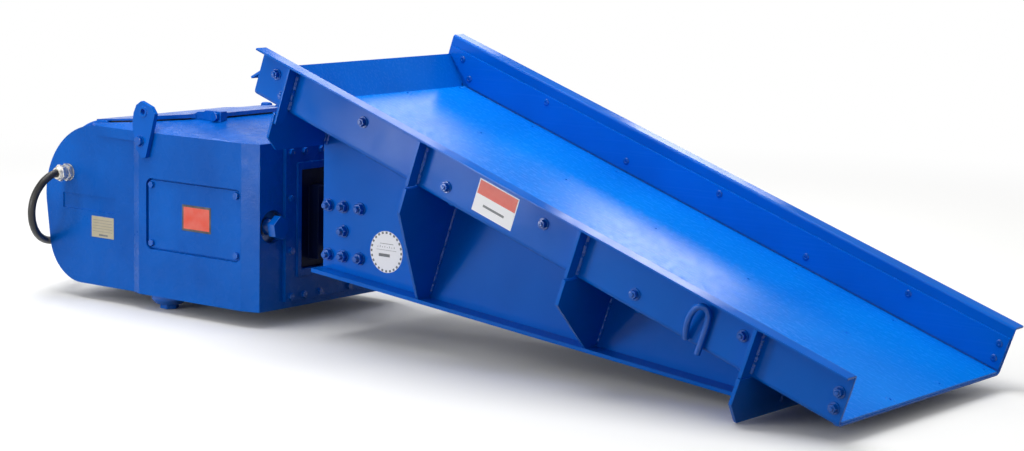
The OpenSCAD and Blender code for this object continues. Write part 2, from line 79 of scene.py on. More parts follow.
# places of the fasteners in millimetres; the trough's are measured back from its mouth
SIDE_BOLTS = [(24, 78), (24, 38), (295, 82), (597, 40), (896, 82), (1200, 40), (1503, 82),
              (1817, 80), (1777, 36)]
FLOOR_BOLT_X = [24, 295, 597, 896, 1200, 1503, 1776]
FLOOR_BOLT_Y = [-345, -118, 118, 345]
WING_BOLTS = [(-352, 345), (-300, 345), (-242, 345), (-300, 280), (-352, 213), (-300, 213),
              (-242, 213)]
FRAME_BOLTS = [(s * 178, z) for s in (-1, 1) for z in (76, 202, 345, 470)] + \
              [(y, z) for y in (-60, 60, -126, 126) for z in (76, 470)]
COVER_SCREWS = [(-922, 354), (-598, 354), (-922, 192), (-598, 192)]
BRACKET_BOLT = (-950, DRIVE_SIDE + 14, 474)     # and its twin on the other side
CLAMP_SCREW = (-797, 172, 544)                  # and its twin
JACK_SCREW = (-510, 238, 272)                   # and its twin

# the lead: out of the gland, down in a bow behind the housing, and round its stored coil
GLAND = (-1272, -285, 356)
CABLE_D = 22
COIL_CENTRE = (-1530, 190)
COIL_RADIUS = 121
COIL_DEGREES = 615          # how far round it goes: the second turn lies on the first
COIL_CLIMB = (235, 90)      # where the lead climbs onto itself, and over how many degrees
COIL_LOW = 11.5             # height of the lead's middle on the floor
COIL_STEP = 22.5            # how much higher the second turn lies
TIE_DEGREES = 100           # where the tie holds both turns
# from the gland to the coil, through the same points as the solid's route
CABLE_ROUTE = [
    (-1272, -305, 356), (-1272, -337, 355.8), (-1273.2, -366, 343.8),
    (-1275.5, -389.9, 322.7), (-1279, -406.1, 295.4), (-1284, -411.5, 264.4),
    (-1291.3, -405.7, 233.9), (-1301.6, -390.6, 207.8), (-1314.8, -369.6, 187.7),
    (-1330.1, -345.7, 172.8), (-1345.8, -320.3, 161.3), (-1360.5, -293.4, 152.3),
    (-1373.2, -264.7, 145.8), (-1383.7, -234.9, 141.3), (-1393.8, -204.8, 137.1),
    (-1405.6, -175.6, 131.4), (-1419.7, -148.6, 121.8), (-1434.5, -124.2, 107.5),
    (-1448, -100.6, 90.5), (-1458.8, -76.1, 73.1), (-1465.9, -50.1, 55.8),
    (-1468.4, -22.6, 39.7), (-1465.5, 6.4, 26.5), (-1457.6, 36.1, 17.8),
    (-1446.2, 65.7, 13.4), (-1433.6, 95, 11.9), (-1421.7, 124.7, 11.6),
    (-1411.2, 154.9, 11.6), (-1408.9, 186.8, 11.5)]


# ---------- camera ----------

# where the camera stands in metres, its lens, and its turn, tilt down and roll in degrees
CAMERA_AT = (4.01642, -5.05760, 1.25732)
CAMERA_LENS = 87.176
CAMERA_TURN = 37.693
CAMERA_TILT = 8.3643
CAMERA_ROLL = 1.1175


def set_camera():
    """A long lens low on the right of the machine, looking up the trough to the drive."""
    data = bpy.data.cameras.new("camera")
    data.sensor_width = 36.0
    data.lens = CAMERA_LENS
    data.clip_end = 200.0
    camera = bpy.data.objects.new("camera", data)
    bpy.context.scene.collection.objects.link(camera)
    camera.matrix_world = (Matrix.Translation(CAMERA_AT)
                           @ Matrix.Rotation(math.radians(CAMERA_TURN), 4, "Z")
                           @ Matrix.Rotation(math.radians(90 - CAMERA_TILT), 4, "X")
                           @ Matrix.Rotation(math.radians(CAMERA_ROLL), 4, "Z"))
    bpy.context.scene.camera = camera


# ---------- finishes ----------

def linear(code):
    """An sRGB hex colour such as #1560C8 as linear values with an alpha of 1."""
    parts = [int(code[i:i + 2], 16) / 255 for i in (1, 3, 5)]
    return tuple(c / 12.92 if c <= 0.04045 else ((c + 0.055) / 1.055) ** 2.4
                 for c in parts) + (1.0,)


def add(tree, kind, inputs=None, **settings):
    """A node with its settings; an input is a value, or the socket that it is linked from."""
    made = tree.nodes.new(kind)
    for name, value in settings.items():
        setattr(made, name, value)
    for name, value in (inputs or {}).items():
        if isinstance(value, bpy.types.NodeSocket):
            tree.links.new(value, made.inputs[name])
        else:
            made.inputs[name].default_value = value
    return made


def start(name, **shader):
    """A material with its shader, and the tree and place that its patterns are added to."""
    made = bpy.data.materials.new(name)
    made.use_nodes = True
    tree = made.node_tree
    tree.nodes.clear()
    bsdf = add(tree, "ShaderNodeBsdfPrincipled", shader)
    add(tree, "ShaderNodeOutputMaterial", {"Surface": bsdf.outputs["BSDF"]})
    place = add(tree, "ShaderNodeTexCoord").outputs["Object"]
    return made, tree, bsdf, place


def bumps(size_mm, detail=2.0, rough=0.5):
    return size_mm, detail, rough, (1, 1, 1), (0, 0, 0)


def finish(name, colours, patterns, tone_by, shine_by, reliefs, **shader):
    """A material whose two linear colours, roughness and relief follow noise patterns.

    patterns: word to (size in millimetres, detail, roughness, how far drawn out, how turned)
    tone_by: the pattern that leads from the first colour to the second
    shine_by: a pattern, and the roughness at its low and high parts
    reliefs: (pattern, strength, depth in millimetres), each laid over the one before
    """
    made, tree, bsdf, place = start(name, **shader)
    noise = {}
    for word, (size_mm, detail, rough, stretch, turn) in patterns.items():
        laid = add(tree, "ShaderNodeMapping", {
            "Vector": place, "Scale": tuple(1 / s for s in stretch), "Rotation": turn})
        noise[word] = add(tree, "ShaderNodeTexNoise", {
            "Vector": laid.outputs["Vector"], "Scale": 1000 / size_mm, "Detail": detail,
            "Roughness": rough}).outputs["Fac"]
    scaled = []
    for word, low, high in ((tone_by, 0.0, 1.0), shine_by):
        scaled.append(add(tree, "ShaderNodeMapRange", {
            "Value": noise[word], "From Min": 0.3, "From Max": 0.7, "To Min": low,
            "To Max": high}).outputs["Result"])
    mix = add(tree, "ShaderNodeMix", {"Factor": scaled[0], 6: colours[0], 7: colours[1]},
              data_type="RGBA")
    tree.links.new(mix.outputs[2], bsdf.inputs["Base Color"])
    tree.links.new(scaled[1], bsdf.inputs["Roughness"])
    normal = {}
    for word, strength, depth_mm in reliefs:
        bump = add(tree, "ShaderNodeBump", {"Height": noise[word], "Strength": strength,
                                            "Distance": depth_mm * MM, **normal})
        normal = {"Normal": bump.outputs["Normal"]}
    tree.links.new(normal["Normal"], bsdf.inputs["Normal"])
    return made


ENAMEL = {"IOR": 1.48, "Specular IOR Level": 0.13}
BRIGHT_ENAMEL = {"IOR": 1.48, "Specular IOR Level": 0.4}


def cast_enamel(name, light, dark, gloss=(0.2, 0.36), coat=ENAMEL):
    """Alkyd enamel sprayed wet over sand-cast iron: glossy, but the sand's grain shows through,
    so highlights break into a sparkle. The grain is drawn coarser than sand, so that it shows."""
    return finish(name, (linear(light), linear(dark)),
                  {"sand": bumps(6, 3.0, 0.6), "swell": bumps(38), "patch": bumps(160, 3.0)},
                  "patch", ("swell", *gloss), [("swell", 0.5, 1.2), ("sand", 0.6, 0.75)], **coat)


def sheet_enamel(name, light, dark):
    """The same enamel on rolled plate: smoother, with orange peel a few millimetres across
    and the faint waves of welded sheet."""
    return finish(name, (linear(light), linear(dark)),
                  {"peel": bumps(4, 1.0), "wave": bumps(220, 1.0), "patch": bumps(300, 3.0),
                   "haze": bumps(60, 4.0)},
                  "patch", ("haze", 0.1, 0.2), [("wave", 0.2, 4.0), ("peel", 0.12, 0.08)], **ENAMEL)


def liner_enamel(name, light, dark):
    """Enamel rolled on the liner plates: drawn out along the trough, so the sheen is streaked.
    The roller's streaks are drawn 7 mm apart, wider than real ones, so that they show."""
    return finish(name, (linear(light), linear(dark)),
                  {"streak": (7, 4.0, 0.5, (60, 1, 1), (0, -SLOPE, 0)), "peel": bumps(4, 1.0),
                   "patch": bumps(260, 3.0)},
                  "patch", ("streak", 0.15, 0.34), [("streak", 0.1, 0.16), ("peel", 0.12, 0.12)],
                  **ENAMEL)


def bare_metal(name, colour, rough, marks_mm):
    """Machined or drawn metal, left bare: tool marks, drawn coarse enough to show, and a patchy
    shine where it has been handled."""
    darker = tuple(0.72 * c for c in linear(colour)[:3]) + (1.0,)
    return finish(name, (linear(colour), darker),
                  {"marks": bumps(marks_mm, 4.0), "cloud": bumps(30, 3.0)},
                  "cloud", ("cloud", rough - 0.08, rough + 0.1), [("marks", 0.3, 0.1)],
                  Metallic=1.0)


def rubber(name, colour, rough, grain_mm):
    """Black rubber, moulded: matt with a fine dust of bloom, its grain drawn coarse enough to
    show."""
    paler = tuple(min(1.0, c + 0.02) for c in linear(colour)[:3]) + (1.0,)
    return finish(name, (linear(colour), paler),
                  {"fine": bumps(grain_mm, 3.0), "bloom": bumps(45, 4.0)},
                  "bloom", ("bloom", rough - 0.06, rough + 0.1), [("fine", 0.3, 0.15)], IOR=1.52)


def printed(name, colour, rough=0.32):
    """Ink or film on a label: even colour, slightly faded in clouds, with a low shine."""
    paler = tuple(c + 0.08 * (1 - c) for c in linear(colour)[:3]) + (1.0,)
    return finish(name, (linear(colour), paler),
                  {"fade": bumps(24, 3.0), "ripple": bumps(6, 1.0)},
                  "fade", ("fade", rough, rough + 0.12), [("ripple", 0.1, 0.1)], IOR=1.46)


# one blue enamel all over: on castings it is painted a shade darker than on plate, as shade on the
# housing, and its highlights sparkle
CAST = cast_enamel("cast_iron_blue_enamel_painted_darker", "#0060C4", "#0053B0")
# on plate: a little brighter, with long calm reflections
SHEET = sheet_enamel("plate_blue_enamel", "#0066D0", "#005BC0")
# on the trough's liners: the same enamel painted lighter than on plate, as the light that falls
# inside the trough, with streaked sheen; painted lightest on its floor, as the overhead light on it
LINER = liner_enamel("liner_blue_enamel", "#006CDA", "#0062CC")
FLOOR_LINER_PAINTED_LIGHTEST = liner_enamel("floor_liner_enamel_painted_lightest", "#007EEA", "#0072DE")
# bolts and weld beads take a thicker, wetter coat, so their edges catch small bright glints
HARDWARE = cast_enamel("fastener_blue_enamel", "#0060C6", "#0050AC", (0.1, 0.2), BRIGHT_ENAMEL)
WELD = cast_enamel("weld_blue_enamel", "#0068D2", "#0058BC", (0.08, 0.18), BRIGHT_ENAMEL)
# the dust seal in the housing's opening, painted as shade: near-black with a blue cast, standing
# for the deep shadow inside the opening, under a dull coat
SEAL = cast_enamel("seal_rubber_painted_shade", "#02133C", "#010C2A", (0.4, 0.6))
# turned and ground steel: mid grey, with soft glints
STEEL = bare_metal("machined_steel", "#A6A9AC", 0.34, 1.2)
# spring leaves under oil: darker, with a slow dull sheen
SPRING_STEEL = bare_metal("oiled_spring_steel", "#6F7479", 0.38, 2.0)
# zinc plate: pale, slightly warm and dull, with no sharp reflection
ZINC = bare_metal("zinc_plate", "#E4E0D6", 0.5, 1.5)
# drawn copper: orange brown, the shiniest of the metals
COPPER = bare_metal("copper_wire", "#B8683A", 0.3, 1.0)
# stacked magnet sheets: dark grey and matt
LAMINATION = bare_metal("magnet_lamination", "#55585C", 0.5, 1.0)
# gasket and tie: matt black
RUBBER = rubber("moulded_black_rubber", "#101113", 0.62, 2.0)
# the lead's sheath: a warmer black, smooth enough to shine along its top
SHEATH = rubber("black_rubber_cable_sheath", "#1B1A19", 0.42, 1.2)
# clear film over anodised aluminium: a dull yellowish field
PLATE_METAL = printed("anodised_plate", "#AFA68C", 0.36)
# films and inks: flat colours, with the low shine of print
LABEL_ORANGE = printed("orange_red_film", "#DC4428")
LABEL_WHITE = printed("white_film", "#F0F1F5")
LABEL_GREY = printed("grey_ink", "#565B62")
LABEL_BLACK = printed("black_ink", "#17181A")


# ---------- shaping tools ----------

def ease(value):
    """0 below 0, 1 above 1, and a soft climb between."""
    value = min(1.0, max(0.0, value))
    return value * value * (3 - 2 * value)


def finish_piece(name, bm, coat, body, replaces=(), sharp=38):
    """Turns a shape in metres into a piece that rides, with edges over sharp degrees kept crisp."""
    bm.normal_update()
    for face in bm.faces:
        face.smooth = True
    for edge in bm.edges:
        edge.smooth = len(edge.link_faces) == 2 and edge.calc_face_angle(0.0) < math.radians(sharp)
    mesh = bpy.data.meshes.new(name)
    bm.to_mesh(mesh)
    bm.free()
    mesh.materials.append(coat)
    piece = bpy.data.objects.new(name, mesh)
    bpy.context.scene.collection.objects.link(piece)
    # broad faces keep their own normal, so only the rounded edges shade round
    flat = piece.modifiers.new("flat faces", "WEIGHTED_NORMAL")
    flat.weight = 80
    flat.keep_sharp = True
    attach(piece, body)
    if replaces:
        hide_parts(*replaces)
    return piece


def round_edges(bm, radius, segments, over=28, keep=None):
    """Rounds every edge that turns by more than over degrees, radius in millimetres."""
    edges = [e for e in bm.edges if len(e.link_faces) == 2
             and e.calc_face_angle(0.0) > math.radians(over) and (keep is None or keep(e))]
    bmesh.ops.bevel(bm, geom=edges, offset=radius * MM, offset_type="OFFSET",
                    segments=segments, profile=0.5, affect="EDGES", clamp_overlap=True,
                    material=-1)


def solid_of(node):
    """A CAD solid's own shape as one closed skin, with flat areas as single faces."""
    bm = bmesh.new()
    bm.from_mesh(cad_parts[node].data)
    bmesh.ops.remove_doubles(bm, verts=bm.verts, dist=0.00002)
    bmesh.ops.dissolve_limit(bm, angle_limit=math.radians(0.6), verts=bm.verts, edges=bm.edges)
    return bm


def dress(node, coat, body, radius, segments, over=28):
    """The CAD solid with its edges rounded as ground and painted steel has them."""
    bm = solid_of(node)
    round_edges(bm, radius, segments, over)
    finish_piece(node + "_finished", bm, coat, body, (node,))


def lathe(profile, steps=24):
    """A turned shape about Z from (radius, height) pairs in millimetres. It is closed where the
    pairs start and end on the axis, or come back to their start."""
    bm = bmesh.new()
    verts = [bm.verts.new((r * MM, 0, z * MM)) for r, z in profile]
    edges = [bm.edges.new(pair) for pair in zip(verts, verts[1:])]
    bmesh.ops.spin(bm, geom=verts + edges, cent=(0, 0, 0), axis=(0, 0, 1),
                   angle=math.tau, steps=steps, use_merge=True)
    bmesh.ops.remove_doubles(bm, verts=bm.verts, dist=0.000005)
    bmesh.ops.recalc_face_normals(bm, faces=bm.faces)
    return bm


def hexagon(across, high, at, chamfer):
    """A hexagon nut or bolt head standing on z = at, with its corners taken off."""
    bm = bmesh.new()
    bmesh.ops.create_cone(bm, cap_ends=True, segments=6, radius1=across / math.sqrt(3) * MM,
                          radius2=across / math.sqrt(3) * MM, depth=high * MM)
    bmesh.ops.translate(bm, verts=bm.verts, vec=(0, 0, (at + high / 2) * MM))
    rims = [e for e in bm.edges if abs(e.verts[0].co.z - e.verts[1].co.z) < 1e-6]
    bmesh.ops.bevel(bm, geom=rims, offset=chamfer * MM, offset_type="OFFSET", segments=2,
                    profile=0.5, affect="EDGES", clamp_overlap=True, material=-1)
    return bm


def thread(radius, low, high, pitch, steps):
    """A screw thread drawn as rings, its pitch a little coarse so that it shows."""
    profile = [(0, low), (radius - 1.2, low)]
    z = low + 0.8
    while z + pitch < high:
        profile += [(radius, z), (radius - 0.9, z + pitch / 2)]
        z += pitch
    profile += [(radius - 0.2, high - 0.9), (radius - 1.3, high), (0, high)]
    return lathe(profile, steps)


def dome(radius, high, at, steps):
    """A low round bolt head."""
    arc = [(radius * math.cos(math.radians(a)), at + high * math.sin(math.radians(a)))
           for a in (0, 18, 36, 54, 72)]
    return lathe([(0, at), (radius - 0.6, at)] + arc + [(0, at + high)], steps)


def low_head(radius, high, socket):
    """A low pan head with a socket in its middle."""
    return lathe([(0, 0.05), (radius - 0.5, 0.05), (radius, 0.6), (radius - 0.8, high * 0.7),
                  (radius - 2.6, high), (socket + 0.4, high), (socket, high - 0.4),
                  (socket * 0.7, 0.6), (0, 0.6)])


def ring(inner, outer, thick):
    """A washer with its rims broken."""
    e = min(0.5, thick / 3)
    return lathe([(inner, 0), (outer - e, 0), (outer, e), (outer, thick - e),
                  (outer - e, thick), (inner, thick), (inner, 0)], 28)


def shank(radius, low, high, steps):
    """A plain round length or disc, closed at both ends."""
    return lathe([(0, low), (radius, low), (radius, high), (0, high)], steps)


def gather(shapes, place=HERE):
    """One shape from several, put at a place; the shapes are used up."""
    out = bmesh.new()
    for shape in shapes:
        mesh = bpy.data.meshes.new("part")
        shape.to_mesh(mesh)
        shape.free()
        out.from_mesh(mesh)
        bpy.data.meshes.remove(mesh)
    bmesh.ops.transform(out, matrix=place, verts=out.verts)
    return out


def cut_off(bm, point, outward):
    """Cuts away what lies beyond a plane through a point in metres, and closes the cut."""
    geom = bm.verts[:] + bm.edges[:] + bm.faces[:]
    cut = bmesh.ops.bisect_plane(bm, geom=geom, plane_co=point, plane_no=outward,
                                 clear_outer=True)
    rim = [e for e in cut["geom_cut"] if isinstance(e, bmesh.types.BMEdge)]
    bmesh.ops.holes_fill(bm, edges=rim, sides=0)


def facing(point, direction, frame_at=HERE, spin=0.0):
    """The place whose +Z points along direction, at a point in millimetres."""
    turn = Vector(direction).to_track_quat("Z", "Y").to_matrix().to_4x4()
    return (frame_at @ Matrix.Translation(Vector(point) * MM) @ turn
            @ Matrix.Rotation(math.radians(spin), 4, "Z"))


def block(low, high, radius, segments=2, frame_at=HERE):
    """A plate or bar between two corners in millimetres, edges rounded."""
    low, high = Vector(low) * MM, Vector(high) * MM
    bm = bmesh.new()
    bmesh.ops.create_cube(bm, size=1.0)
    bmesh.ops.scale(bm, vec=high - low, verts=bm.verts)
    bmesh.ops.translate(bm, vec=(low + high) / 2, verts=bm.verts)
    if radius:
        round_edges(bm, radius, segments)
    bmesh.ops.transform(bm, matrix=frame_at, verts=bm.verts)
    return bm


def bead(a, b, first, second, leg, frame_at, seed):
    """A fillet weld laid from a to b in the corner between two plates; first and second point
    out of the plates. Its ripples are drawn coarse enough to show."""
    a, b = Vector(a) * MM, Vector(b) * MM
    first, second = Vector(first).normalized(), Vector(second).normalized()
    along = (b - a).normalized()
    length = (b - a).length
    steps = max(6, int(length / (3.0 * MM)))
    draw = random.Random(seed)
    bm = bmesh.new()
    bmesh.ops.create_grid(bm, x_segments=steps, y_segments=8, size=0.5)
    radius = leg * 0.62 * MM
    wander = [draw.uniform(0.74, 1.2) for _ in range(steps + 2)]
    for vert in bm.verts:
        # u runs along the bead and v round it; every ring has a width of its own
        u, v = vert.co.x + 0.5, vert.co.y + 0.5
        k = min(steps, int(round(u * steps)))
        angle = math.tau * v
        wide = radius * wander[k] * (1.08 if k % 2 else 0.92)
        # the ends taper
        if k in (0, steps):
            wide *= 0.35
        out = first * math.cos(angle) + second * math.sin(angle)
        # and each ripple's crest trails behind its feet
        lag = -0.4 * leg * MM * max(0.0, out.dot((first + second).normalized())) ** 2
        vert.co = (a + along * (u * length + lag * (0 < k < steps))
                   + (first + second) * leg * 0.16 * MM + out * wide)
    bmesh.ops.remove_doubles(bm, verts=bm.verts, dist=0.00001)
    rims = [e for e in bm.edges if len(e.link_faces) == 1]
    bmesh.ops.holes_fill(bm, edges=rims, sides=0)
    bmesh.ops.recalc_face_normals(bm, faces=bm.faces)
    bmesh.ops.transform(bm, matrix=frame_at, verts=bm.verts)
    return bm


# ---------- power cable ----------

def on_coil(degrees, z, radius=COIL_RADIUS, forward=0.0):
    """A point of the coil in millimetres; forward carries on straight along the lead."""
    a = math.radians(degrees)
    out, on = Vector((math.cos(a), math.sin(a), 0)), Vector((-math.sin(a), math.cos(a), 0))
    return Vector((*COIL_CENTRE, z)) + out * radius + on * forward


def coil_points():
    """The stored turns: round on the floor, a climb over the lead, and round again on top of it.
    Where it climbs, the turns lie up to 2.5 mm into each other."""
    climb_at, climb_over = COIL_CLIMB
    return [tuple(on_coil(degrees, COIL_LOW + COIL_STEP * ease((degrees - climb_at) / climb_over)))
            for degrees in range(0, COIL_DEGREES + 1, 15)]


def curve_piece(name, points, radius, coat, body, replaces, round_by):
    """A round bar or cable along points in millimetres, as one open smooth curve."""
    data = bpy.data.curves.new(name, "CURVE")
    data.dimensions = "3D"
    data.bevel_depth = radius * MM
    data.bevel_resolution = round_by
    data.use_fill_caps = True
    data.resolution_u = 6
    spline = data.splines.new("BEZIER")
    spline.bezier_points.add(len(points) - 1)
    for knot, point in zip(spline.bezier_points, points):
        knot.co = Vector(point) * MM
        knot.handle_left_type = knot.handle_right_type = "AUTO"
    data.materials.append(coat)
    piece = bpy.data.objects.new(name, data)
    bpy.context.scene.collection.objects.link(piece)
    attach(piece, body)
    if replaces:
        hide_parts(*replaces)
    return piece


def lay_cable():
    """The drive's flexible lead, with three bare conductors at its far end."""
    run = CABLE_ROUTE + coil_points()
    cable = curve_piece("drive_cable", run, CABLE_D / 2, SHEATH, "drive",
                        ("power_cable", "cable_coil"), 7)
    # the cores spread from 4 to 7 mm apart as they leave the sheath, and sink towards the turn
    # below; a known fault is that their ends cut into it where it climbs
    sink = [(-6, 33.5), (4, 32.5), (14, 29), (24, 26.6), (34, 26), (46, 26)]
    for k in range(3):
        points = []
        for step, (forward, z) in enumerate(sink):
            across = 7 * (k - 1) * min(1.0, 0.55 + 0.15 * step)
            points.append(tuple(on_coil(COIL_DEGREES, z, COIL_RADIUS + across, forward)))
        curve_piece("cable_core_%d" % (k + 1), points, 3, COPPER, "drive",
                                 ("cable_cores",) if k == 0 else (), 3)
    tie_place = (Matrix.Translation(on_coil(TIE_DEGREES, 0.5) * MM)
                 @ Matrix.Rotation(math.radians(TIE_DEGREES + 90), 4, "Z"))
    tie = block((-4.5, -13.6, -1), (4.5, 13.6, 46.4), 3.0, 3, tie_place)
    tie_piece = finish_piece("cable_tie", tie, RUBBER, "drive", ("coil_tie",))


set_camera()
lay_cable()


# ---------- drive ----------

# recesses in the housing's sides, whose edges stay crisper: x and z ranges in millimetres
SUNK_FIELDS = [((-1302, -1072), (246, 305)), ((-960, -560), (150, 396))]


def in_sunk_field(edge):
    """Whether an edge belongs to a recess in the housing's side."""
    at = (edge.verts[0].co + edge.verts[1].co) / 2 / MM
    return abs(at.y) > 255 and any(x[0] < at.x < x[1] and z[0] < at.z < z[1]
                                   for x, z in SUNK_FIELDS)


def build_casting():
    """The spring housing: heavy cast walls with wide rounded corners and crisp small steps."""
    shell = solid_of("drive_casting")
    round_edges(shell, 7.0, 3, 24, lambda edge: not in_sunk_field(edge))
    round_edges(shell, 1.4, 2, 24, in_sunk_field)
    finish_piece("drive_casting_finished", shell, CAST, "drive", ("drive_casting",), 13)
    dress("top_cover", CAST, "drive", 3.0, 3, 10)
    dress("cover_gasket", RUBBER, "drive", 0.6, 3)
    dress("cover_clamps", CAST, "drive", 4.0, 3, 20)
    for side in ("left", "right"):
        dress("suspension_bracket_" + side, SHEET, "drive", 1.6, 2, 30)
    dress("seal_frame", CAST, "drive", 1.6, 2)
    # the seal takes the painted-shade navy, which stands for the shadow in the opening
    dress("dust_seal", SEAL, "drive", 3.0, 3)
    dress("drive_feet", HARDWARE, "drive", 1.6, 2, 30)
    dress("jack_nuts", STEEL, "drive", 1.2, 2, 40)


def build_inspection_covers():
    """Plates screwed to the bottom of the recesses in both sides of the housing."""
    for side in ("left", "right"):
        dress("inspection_cover_" + side, CAST, "drive", 1.2, 2, 50)


def build_crown():
    """The housing's crowned top, which runs down into its round back, and the rear cover lugs."""
    bm = bmesh.new()
    bmesh.ops.create_cone(bm, cap_ends=True, segments=120, radius1=CROWN_RADIUS * MM,
                          radius2=CROWN_RADIUS * MM, depth=CROWN_WIDE * MM)
    bmesh.ops.rotate(bm, verts=bm.verts, matrix=Matrix.Rotation(math.pi / 2, 3, "X"))
    bmesh.ops.translate(bm, verts=bm.verts, vec=Vector(CROWN_AXIS) * MM)
    cut_off(bm, (CROWN_FRONT_X * MM, 0, 0), (1, 0, 0))
    cut_off(bm, (0, 0, CROWN_FOOT_Z * MM), (0, 0, -1))
    round_edges(bm, 9, 4, 60)
    # the top climbs to the underside of the cover's gasket, and the back below it stays round
    climb_from, climb_to = CROWN_CLIMB_X
    for vert in bm.verts:
        if vert.co.z > CROWN_TOP_Z * MM:
            near = ease((vert.co.x / MM - climb_from) / (climb_to - climb_from))
            vert.co.z += CROWN_CLIMB * MM * near
    finish_piece("casting_crown", bm, CAST, "drive")
    lugs = [block((-1022, low_y, 515), (-990, low_y + 24, 541), 7.0, 3) for low_y in (-262, 238)]
    finish_piece("rear_cover_lugs", gather(lugs), CAST, "drive")


def build_drive_fasteners():
    """Bolts of the drive: heads, washers and screwed ends."""
    heads = []
    for y, z in FRAME_BOLTS:
        place = facing((DRIVE_FRONT_X + SEAL_PLATE, y, z), (1, 0, 0), spin=(y + z) % 50)
        heads.append(gather([ring(5.8, 10.5, 1.4), hexagon(17, 8, 1.2, 1.0),
                             dome(5.2, 1.2, 8.8, 16), shank(5, -11.8, 1, 14)], place))
    finish_piece("seal_frame_bolt_heads", gather(heads), HARDWARE, "drive",
                 ("seal_frame_bolts",))
    screws = []
    for side in (-1, 1):
        for x, z in COVER_SCREWS:
            place = facing((x, side * COVER_FACE, z), (0, side, 0), spin=(x + z) % 37)
            screws.append(gather([ring(4.5, 10, 1.4), hexagon(17, 6.2, 1.2, 1.1),
                                  shank(4, -12, 1, 14)], place))
    finish_piece("inspection_cover_screws", gather(screws), HARDWARE, "drive",
                 ("inspection_screws",))
    bolts = []
    for side in (-1, 1):
        x, y, z = BRACKET_BOLT
        place = facing((x, side * y, z), (0, side, 0), spin=14)
        bolts.append(gather([ring(8.2, 16, 2.4), hexagon(24, 8.6, 2.2, 1.5),
                             shank(8, -48, 1, 20), hexagon(19, 11.6, -54, 1.2)], place))
    finish_piece("bracket_bolt_sets", gather(bolts), HARDWARE, "drive",
                 ("bracket_bolts",))
    clamps = []
    for side in (-1, 1):
        x, y, z = CLAMP_SCREW
        place = facing((x, side * y, z), (0, side, 0), spin=8)
        clamps.append(gather([hexagon(22, 11, 0, 1.5), shank(6.4, -23, 1, 18)], place))
    finish_piece("cover_clamp_screws", gather(clamps), HARDWARE, "drive",
                 ("cover_clamp_bolts",))
    jacks = []
    for side in (-1, 1):
        x, y, z = JACK_SCREW
        place = facing((x, side * y, z), (1, 0, 0), spin=9)
        jacks.append(gather([hexagon(58, 25, 0, 2.6), thread(22.4, -52.6, 0.2, 3.0, 32),
                             dome(19, 1.0, 24.4, 28)], place))
    finish_piece("jack_screw_set", gather(jacks), HARDWARE, "drive", ("jack_screws",))


def build_gland():
    """The lead's gland in bare zinc: a washer and body with a screwed neck, and a tapered cap."""
    place = facing(GLAND, (0, -1, 0), spin=12)
    # the lead fills the bores, which are left open, without an inner wall
    body = [ring(13, 24.4, 1.6), hexagon(44, 12.2, 1.6, 2.0), lathe(
        [(11.4, 13), (21.6, 13), (21.6, 16), (20.6, 17), (20.6, 25), (21.6, 26), (11.4, 26)], 40),
        lathe([(11.4, -24), (15.4, -24), (15.4, 1), (11.4, 1)], 32)]
    finish_piece("gland_body_zinc", gather(body, place), ZINC, "drive", ("gland_body",))
    cap = [hexagon(42, 11.6, 26.2, 2.0), lathe(
        [(11.3, 37), (19, 37), (19.6, 38), (17.6, 44), (15.2, 46.6), (12, 47), (11.3, 46)], 40)]
    finish_piece("gland_cap_zinc", gather(cap, place), ZINC, "drive", ("gland_nut",))


def build_springs_and_magnet():
    """Inside the housing: spring stack, clamps and electromagnet."""
    dress("spring_seats", CAST, "drive", 2.0, 2)
    dress("spring_end_clamps", STEEL, "drive", 1.5, 2)
    dress("leaf_springs", SPRING_STEEL, "drive", 1.2, 2, 60)
    dress("spring_spacers", ZINC, "drive", 0.6, 1, 60)
    dress("magnet_core", LAMINATION, "drive", 1.0, 2)
    dress("magnet_coil", COPPER, "drive", 4.0, 3)
    dress("magnet_bracket", CAST, "drive", 2.0, 2)


def build_labels():
    """Blank plates where the maker's words would be: fields and rules, and no lettering."""
    plate = block((-1176, -286.1, 181), (-1086, -285.1, 241), 0.3, 1)
    finish_piece("rating_plate_blank", plate, PLATE_METAL, "drive", ("rating_plate",))
    rules = [block((-1170, -286.3, z), (-1092, -286.0, z + 0.9), 0.0)
             for z in (198, 206, 214, 222, 230)]
    rules.append(block((-1146, -286.3, 186), (-1110, -286.0, 191), 0.0))
    finish_piece("rating_plate_rules", gather(rules), LABEL_GREY, "drive")
    rim = 6
    low, high = (Vector(corner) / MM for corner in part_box("cover_label"))
    finish_piece("cover_label_rim", block(low, high, 0.0), LABEL_BLACK, "drive",
                 ("cover_label",))
    field_low = (low.x + rim, low.y - 0.1, low.z + rim)
    field_high = (high.x - rim, low.y + 0.1, high.z - rim)
    finish_piece("cover_label_field", block(field_low, field_high, 0.0), LABEL_ORANGE, "drive")


# ---------- moving frame ----------

def build_moving_frame():
    """The clamp, armature and the two wing plates that carry the trough."""
    dress("centre_piece", CAST, "trough", 2.0, 2, 40)
    dress("armature", LAMINATION, "trough", 1.2, 2, 40)
    dress("centre_bolts", STEEL, "trough", 1.0, 2, 50)
    for side in ("left", "right"):
        dress("wing_plate_" + side, SHEET, "trough", 1.4, 2, 40)
    sets = []
    for side in (-1, 1):
        for x, z in WING_BOLTS:
            place = facing((x, side * WING_Y, z), (0, side, 0), spin=(x * 7 + z) % 60)
            shapes = [ring(8.4, 17.5, 2.6), hexagon(26, 12.0, 2.6, 1.7),
                      thread(8, -38, 23.4, 2.4, 16)]
            # the rear column screws into the centre piece, and the rest have nuts inside
            if x > -345:
                shapes.append(hexagon(26, 9.6, -47.6, 1.7))
            sets.append(gather(shapes, place))
    finish_piece("wing_bolt_sets", gather(sets), HARDWARE, "trough", ("wing_bolts",))


# ---------- trough ----------

